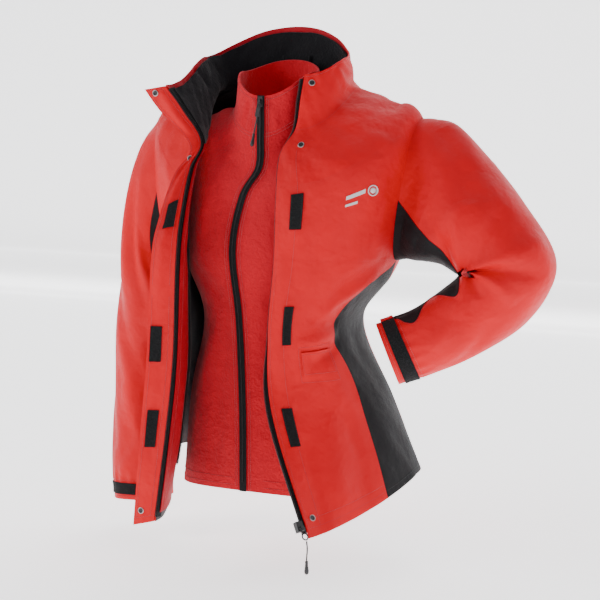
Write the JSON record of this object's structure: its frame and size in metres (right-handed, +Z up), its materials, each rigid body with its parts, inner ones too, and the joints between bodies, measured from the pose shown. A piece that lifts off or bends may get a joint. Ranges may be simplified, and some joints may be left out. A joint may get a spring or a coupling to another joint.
{
  "type": "foul weather jacket",
  "caption": "Waterproof sailing jacket worn open over a zip-up fleece liner, high collar, storm flap, one sleeve bent to the hip.",
  "frame": {"origin": "centre of the neck base, where the jacket sits on the wearer", "axes": "+X to the wearer's left, -Y to the front, +Z up"},
  "size_m": [0.8686, 0.4167, 0.9039],
  "materials": {
    "shell_cloth": "satin",
    "charcoal_cloth": "matte",
    "lining": "matte",
    "fleece_cloth": "matte",
    "zip_tape": "matte",
    "hook_and_loop": "matte",
    "black_plastic": "satin",
    "snap_metal": "satin",
    "badge": "matte",
    "pull_cord": "matte"
  },
  "bodies": {
    "torso": {"back_panel": "shell_cloth", "left_side_panel": "charcoal_cloth", "right_side_panel": "charcoal_cloth", "left_chest_panel": "shell_cloth", "right_chest_panel": "shell_cloth", "collar_shell": "shell_cloth", "collar_lining": "charcoal_cloth", "back_lining": "lining", "hanger_loop": "zip_tape", "chest_badge": "badge", "chest_loop_patch": "hook_and_loop", "collar_snaps": "snap_metal", "left_zip_tape_upper": "zip_tape", "right_zip_tape_upper": "zip_tape", "storm_flap_upper": "shell_cloth", "storm_flap_upper_patch": "hook_and_loop", "storm_flap_upper_snaps": "snap_metal", "fleece_left_front": "fleece_cloth", "fleece_right_front": "fleece_cloth", "fleece_back": "fleece_cloth", "fleece_collar": "fleece_cloth", "fleece_zip_tape": "zip_tape", "fleece_zip_teeth": "black_plastic"},
    "fleece_slider": {"fleece_zip_slider": "black_plastic"},
    "fleece_pull": {"fleece_pull_tab": "black_plastic", "fleece_pull_cord": "pull_cord", "fleece_pull_end": "black_plastic"},
    "left_front": {"left_front_panel": "shell_cloth", "left_facing": "shell_cloth", "left_zip_tape": "zip_tape", "front_loop_patches": "hook_and_loop", "left_hem_snap": "snap_metal"},
    "left_pocket": {"left_pocket_flap": "shell_cloth"},
    "main_slider": {"main_zip_slider": "black_plastic"},
    "main_pull": {"main_pull_ring": "black_plastic", "main_pull_cord": "pull_cord", "main_pull_end": "black_plastic"},
    "right_front": {"right_front_panel": "shell_cloth", "right_facing": "shell_cloth", "right_zip_tape": "zip_tape", "connection_zip": "zip_tape"},
    "right_pocket": {"right_pocket_flap": "shell_cloth"},
    "storm_flap": {"storm_flap": "shell_cloth", "storm_flap_patches": "hook_and_loop", "storm_flap_hem_snap": "snap_metal"},
    "left_arm": {"left_upper_sleeve": "shell_cloth", "left_fleece_upper_sleeve": "fleece_cloth"},
    "left_forearm": {"left_lower_sleeve": "shell_cloth", "left_fleece_lower_sleeve": "fleece_cloth", "left_forearm_panel": "charcoal_cloth", "left_cuff_band": "hook_and_loop"},
    "left_tab": {"left_cuff_tab": "shell_cloth"},
    "right_arm": {"right_upper_sleeve": "shell_cloth", "right_fleece_upper_sleeve": "fleece_cloth"},
    "right_forearm": {"right_lower_sleeve": "shell_cloth", "right_fleece_lower_sleeve": "fleece_cloth", "right_forearm_panel": "charcoal_cloth", "right_cuff_band": "hook_and_loop"},
    "right_tab": {"right_cuff_tab": "shell_cloth"}
  },
  "joints": [
    {"name": "left_front_swing", "type": "hinge", "parent": "torso", "child": "left_front", "pos_m": [0.172, -0.08, -0.41], "axis": [-0.2541, 0, 0.9672], "range_deg": [-4, 13]},
    {"name": "right_front_swing", "type": "hinge", "parent": "torso", "child": "right_front", "pos_m": [-0.158, -0.083, -0.41], "axis": [-0.128, -0.012, -0.9917], "range_deg": [-4, 18]},
    {"name": "storm_flap_fold", "type": "hinge", "parent": "right_front", "child": "storm_flap", "pos_m": [-0.1065, -0.2368, -0.5075], "axis": [0.0645, 0.1, 0.9929], "range_deg": [-8, 55]},
    {"name": "left_pocket_lift", "type": "hinge", "parent": "left_front", "child": "left_pocket", "pos_m": [0.12901, -0.12716, -0.39647], "axis": [-0.5868, -0.808, -0.0527], "range_deg": [0, 50]},
    {"name": "right_pocket_lift", "type": "hinge", "parent": "right_front", "child": "right_pocket", "pos_m": [-0.12907, -0.1355, -0.42281], "axis": [-0.3664, 0.8979, 0.2441], "range_deg": [0, 50]},
    {"name": "main_zip_slide", "type": "slide", "parent": "left_front", "child": "main_slider", "axis": [-0.4572, 0.2791, 0.8444], "range_m": [0, 0.05]},
    {"name": "main_pull_swing", "type": "hinge", "parent": "main_slider", "child": "main_pull", "pos_m": [0.15752, -0.25609, -0.67129], "axis": [-0.4721, -0.8808, 0.0355], "range_deg": [0, 60]},
    {"name": "fleece_zip_slide", "type": "slide", "parent": "torso", "child": "fleece_slider", "axis": [0.0617, -0.16, -0.9852], "range_m": [0, 0.04]},
    {"name": "fleece_pull_swing", "type": "hinge", "parent": "fleece_slider", "child": "fleece_pull", "pos_m": [0.00067, -0.08516, 0.02454], "axis": [-1, 0, 0], "range_deg": [0, 60]},
    {"name": "left_arm_lift", "type": "hinge", "parent": "torso", "child": "left_arm", "pos_m": [0.25, 0.02, 0.003], "axis": [0, -1, 0], "range_deg": [0, 25]},
    {"name": "right_arm_lift", "type": "hinge", "parent": "torso", "child": "right_arm", "pos_m": [-0.24, 0.02, 0.003], "axis": [0, 1, 0], "range_deg": [0, 35]},
    {"name": "left_elbow_bend", "type": "hinge", "parent": "left_arm", "child": "left_forearm", "pos_m": [0.50782, 0.01192, -0.24533], "axis": [0.2153, -0.9425, 0.2557], "range_deg": [0, 25]},
    {"name": "right_elbow_bend", "type": "hinge", "parent": "right_arm", "child": "right_forearm", "pos_m": [-0.28462, -0.03378, -0.40921], "axis": [-1, 0, 0], "range_deg": [0, 35]},
    {"name": "left_cuff_tab_lift", "type": "hinge", "parent": "left_forearm", "child": "left_tab", "pos_m": [0.2317, -0.04086, -0.36855], "axis": [-0.8592, -0.4227, -0.2882], "range_deg": [0, 60]},
    {"name": "right_cuff_tab_lift", "type": "hinge", "parent": "right_forearm", "child": "right_tab", "pos_m": [-0.24803, 0.03793, -0.72298], "axis": [-0.0448, 0.1066, 0.9933], "range_deg": [0, 60]}
  ]
}
